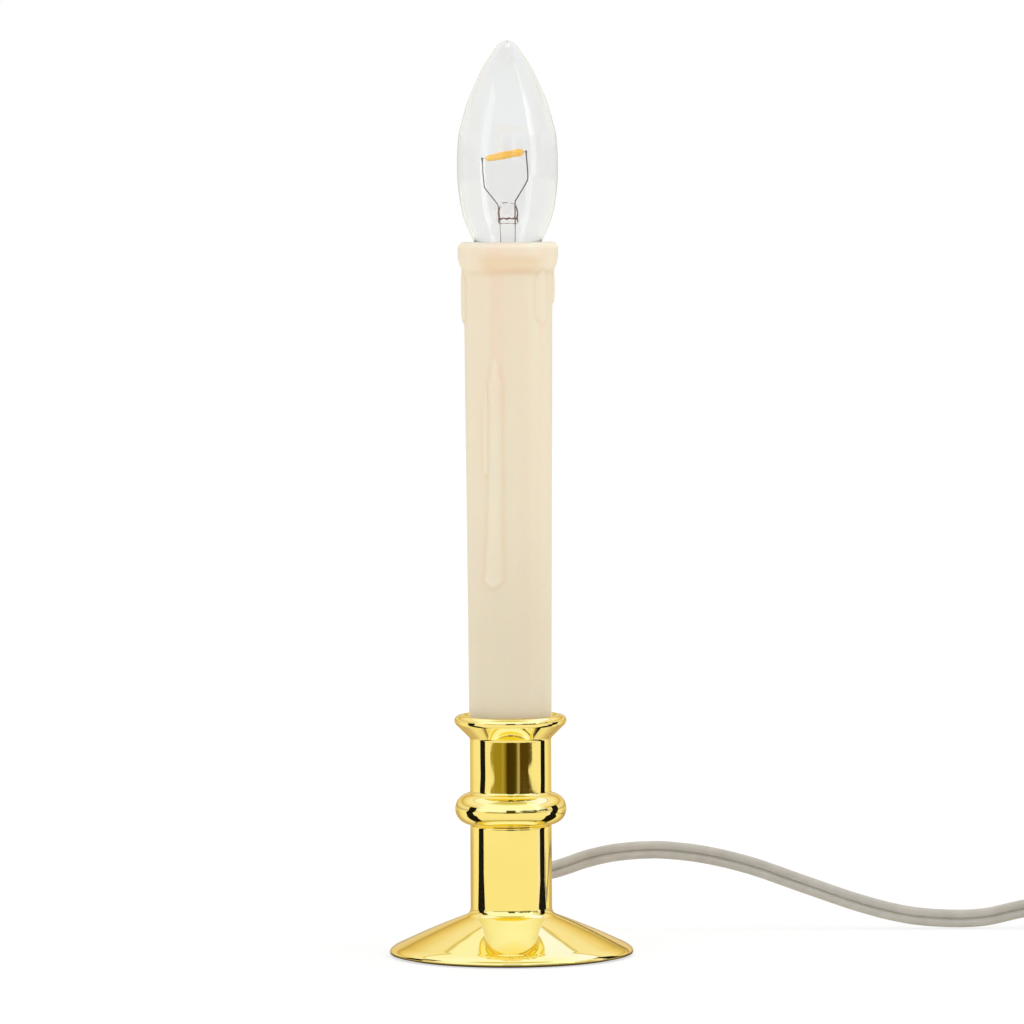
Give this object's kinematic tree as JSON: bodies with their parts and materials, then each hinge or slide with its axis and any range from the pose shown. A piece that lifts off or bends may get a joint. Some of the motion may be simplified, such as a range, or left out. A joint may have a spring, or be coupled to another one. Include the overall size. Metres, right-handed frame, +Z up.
{
  "type": "electric window candle",
  "caption": "Electric window candle: plated candlestick base, ivory drip sleeve, clear screw-in candle bulb and a flat mains cord with switch and plug.",
  "frame": {"origin": "on the surface that the candle stands on, on the candle's axis", "axes": "+Z up along the candle, -Y to the front, +Y to the back where the cord leaves, +X to the right"},
  "size_m": [0.283, 0.0891, 0.2284],
  "materials": {
    "gold_plating": "mirror-bright plating",
    "felt": "matt",
    "steel": "zinc plated",
    "cast_iron": "rough",
    "ivory_plastic": "semi-gloss, slightly translucent",
    "brass": "plain",
    "dark_plastic": "moulded",
    "black_glass": "glassy",
    "nickel": "nickel plated",
    "clear_glass": "clear",
    "phosphor": "matt",
    "green_board": "satin",
    "brown_plastic": "dipped",
    "cord_plastic": "satin",
    "black_insulation": "satin",
    "tie_plastic": "satin"
  },
  "bodies": {
    "candlestick": {"base_shell": "gold_plating", "base_pad": "felt", "bottom_plate": "steel", "ballast_ring": "cast_iron", "collar": "gold_plating", "candle_cup": "gold_plating", "stem_rod": "steel", "lower_washer": "steel", "lower_nut": "steel", "upper_washer": "steel", "upper_nut": "steel", "candle_sleeve": "ivory_plastic", "socket_hub": "brass", "socket_body": "dark_plastic", "hot_terminal": "brass", "neutral_terminal": "brass", "socket_screw_shell": "brass", "strain_relief": "cord_plastic", "hot_wire": "black_insulation", "neutral_wire": "cord_plastic", "cord_lead": "cord_plastic", "cord_to_coil": "cord_plastic", "cord_coil": "cord_plastic", "cord_to_plug": "cord_plastic", "cord_tie": "tie_plastic", "switch_case_bottom": "cord_plastic", "switch_case_top": "cord_plastic", "switch_axle": "steel", "switch_screw": "steel", "plug_body": "cord_plastic", "plug_blade_hot": "brass", "plug_blade_neutral": "brass"},
    "bulb_carrier": {"bulb_tip_contact": "steel", "bulb_insulator": "black_glass"},
    "bulb": {"bulb_screw_shell": "nickel", "bulb_glass": "clear_glass", "bulb_stem": "clear_glass", "left_lead_wire": "steel", "right_lead_wire": "steel", "led_filament": "phosphor", "driver_board": "green_board", "driver_capacitor": "brown_plastic"},
    "tongue": {"contact_tongue": "brass"},
    "thumbwheel": {"switch_thumbwheel": "black_insulation"}
  },
  "joints": [
    {"name": "bulb_lift", "type": "slide", "parent": "candlestick", "child": "bulb_carrier", "axis": [0, 0, 1], "range_m": [0, 0.01016]},
    {"name": "bulb_twist", "type": "hinge", "parent": "bulb_carrier", "child": "bulb", "pos_m": [0, 0, 0.1525], "axis": [0, 0, 1], "range_deg": [0, 1440]},
    {"name": "contact_flex", "type": "hinge", "parent": "candlestick", "child": "tongue", "pos_m": [-0.006, 0, 0.1454], "axis": [0, 1, 0], "range_deg": [0, 5], "stiffness_Nm_per_rad": 0.02, "springref_deg": -2.86},
    {"name": "switch_turn", "type": "hinge", "parent": "candlestick", "child": "thumbwheel", "pos_m": [0.159, 0.05, 0.0055], "axis": [0, 0, 1], "continuous": true}
  ],
  "couplings": [
    {"joint": "bulb_lift", "follows": "bulb_twist", "m_per_rad": 0.00040425}
  ]
}
